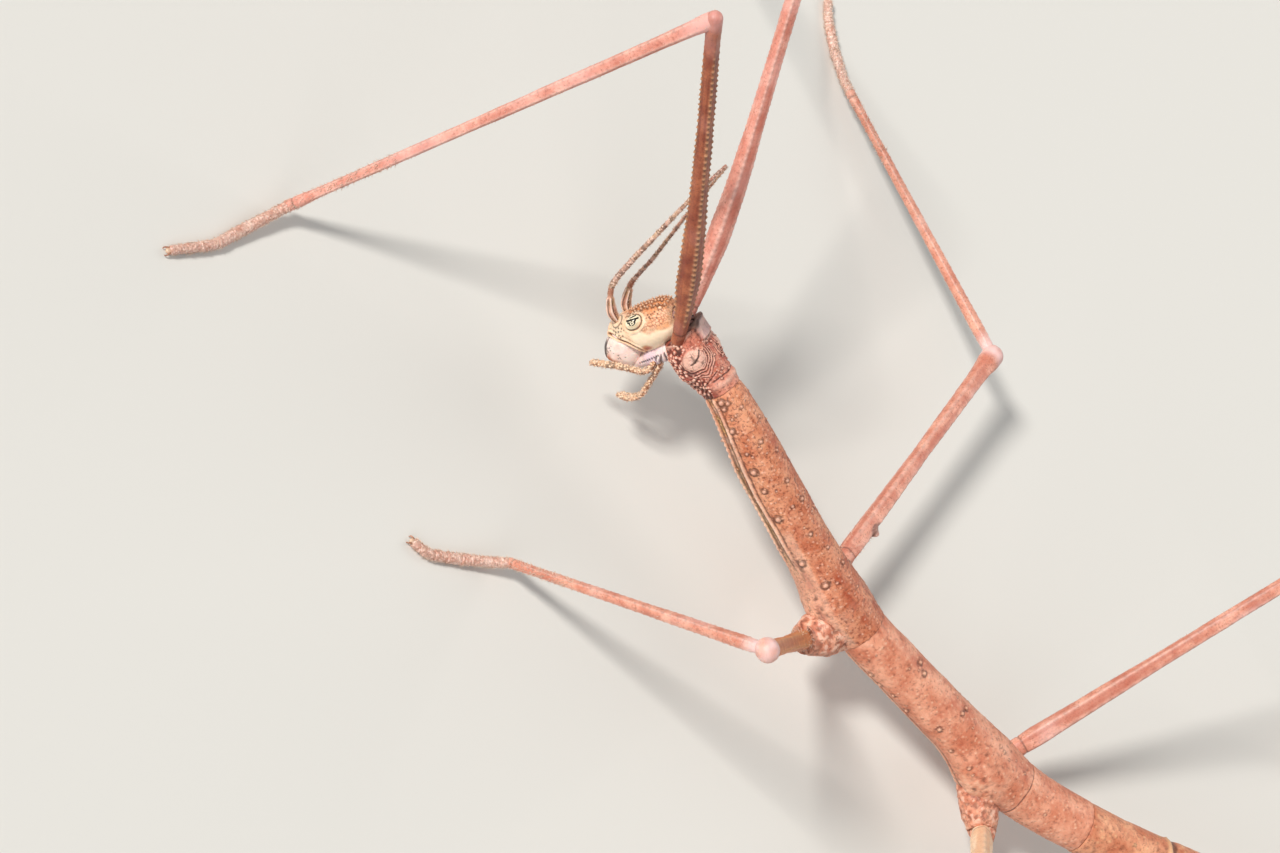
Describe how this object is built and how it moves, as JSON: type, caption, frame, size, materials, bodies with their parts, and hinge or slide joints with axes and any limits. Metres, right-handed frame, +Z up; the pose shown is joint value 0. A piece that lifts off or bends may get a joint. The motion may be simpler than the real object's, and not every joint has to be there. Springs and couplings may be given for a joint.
{
  "type": "stick insect",
  "caption": "Wingless female stick insect, life size, standing still with its head bent down as if feeding and its front legs reaching forwards.",
  "frame": {"origin": "the middle of the bounding box's bottom, on the floor the feet stand on", "axes": "+X towards the head along the body, +Y to the animal's left, +Z up"},
  "size_m": [0.1114, 0.0666, 0.0275],
  "materials": {
    "body_cuticle": "dry reddish-brown cuticle with fine wrinkles and small tubercles",
    "head_cuticle": "pale tan cuticle, grainy on the crown and smooth on the cheek",
    "mouth_cuticle": "pinkish-white mouth plates and soft folded membrane",
    "feeler_cuticle": "thin ringed cuticle with short hairs",
    "leg_cuticle": "keeled reddish-brown leg cuticle, slightly glossy along the keels",
    "foot_cuticle": "hairy jointed foot cuticle, paler than the leg",
    "eye": "glossy cream eye with dark bands"
  },
  "bodies": {
    "root": {"abdomen_10": "body_cuticle", "abdomen_2": "body_cuticle", "abdomen_3": "body_cuticle", "abdomen_4": "body_cuticle", "abdomen_5": "body_cuticle", "abdomen_6": "body_cuticle", "abdomen_7": "body_cuticle", "abdomen_8": "body_cuticle", "abdomen_9": "body_cuticle", "antenna_left": "feeler_cuticle", "antenna_right": "feeler_cuticle", "cercus_left": "body_cuticle", "cercus_right": "body_cuticle", "eye_left": "eye", "eye_right": "eye", "fore_left_coxa": "leg_cuticle", "fore_left_femur": "leg_cuticle", "fore_left_tarsus": "foot_cuticle", "fore_left_tibia": "leg_cuticle", "fore_right_coxa": "leg_cuticle", "fore_right_femur": "leg_cuticle", "fore_right_tarsus": "foot_cuticle", "fore_right_tibia": "leg_cuticle", "head": "head_cuticle", "hind_left_coxa": "leg_cuticle", "hind_left_femur": "leg_cuticle", "hind_left_tarsus": "foot_cuticle", "hind_left_tibia": "leg_cuticle", "hind_right_coxa": "leg_cuticle", "hind_right_femur": "leg_cuticle", "hind_right_tarsus": "foot_cuticle", "hind_right_tibia": "leg_cuticle", "labial_palp_left": "feeler_cuticle", "labial_palp_right": "feeler_cuticle", "labium": "mouth_cuticle", "mandibles": "mouth_cuticle", "maxillary_palp_left": "feeler_cuticle", "maxillary_palp_right": "feeler_cuticle", "median_segment": "body_cuticle", "mesothorax": "body_cuticle", "metathorax": "body_cuticle", "mid_left_coxa": "leg_cuticle", "mid_left_femur": "leg_cuticle", "mid_left_tarsus": "foot_cuticle", "mid_left_tibia": "leg_cuticle", "mid_right_coxa": "leg_cuticle", "mid_right_femur": "leg_cuticle", "mid_right_tarsus": "foot_cuticle", "mid_right_tibia": "leg_cuticle", "neck": "mouth_cuticle", "operculum": "body_cuticle", "prothorax": "body_cuticle"}
  },
  "joints": []
}
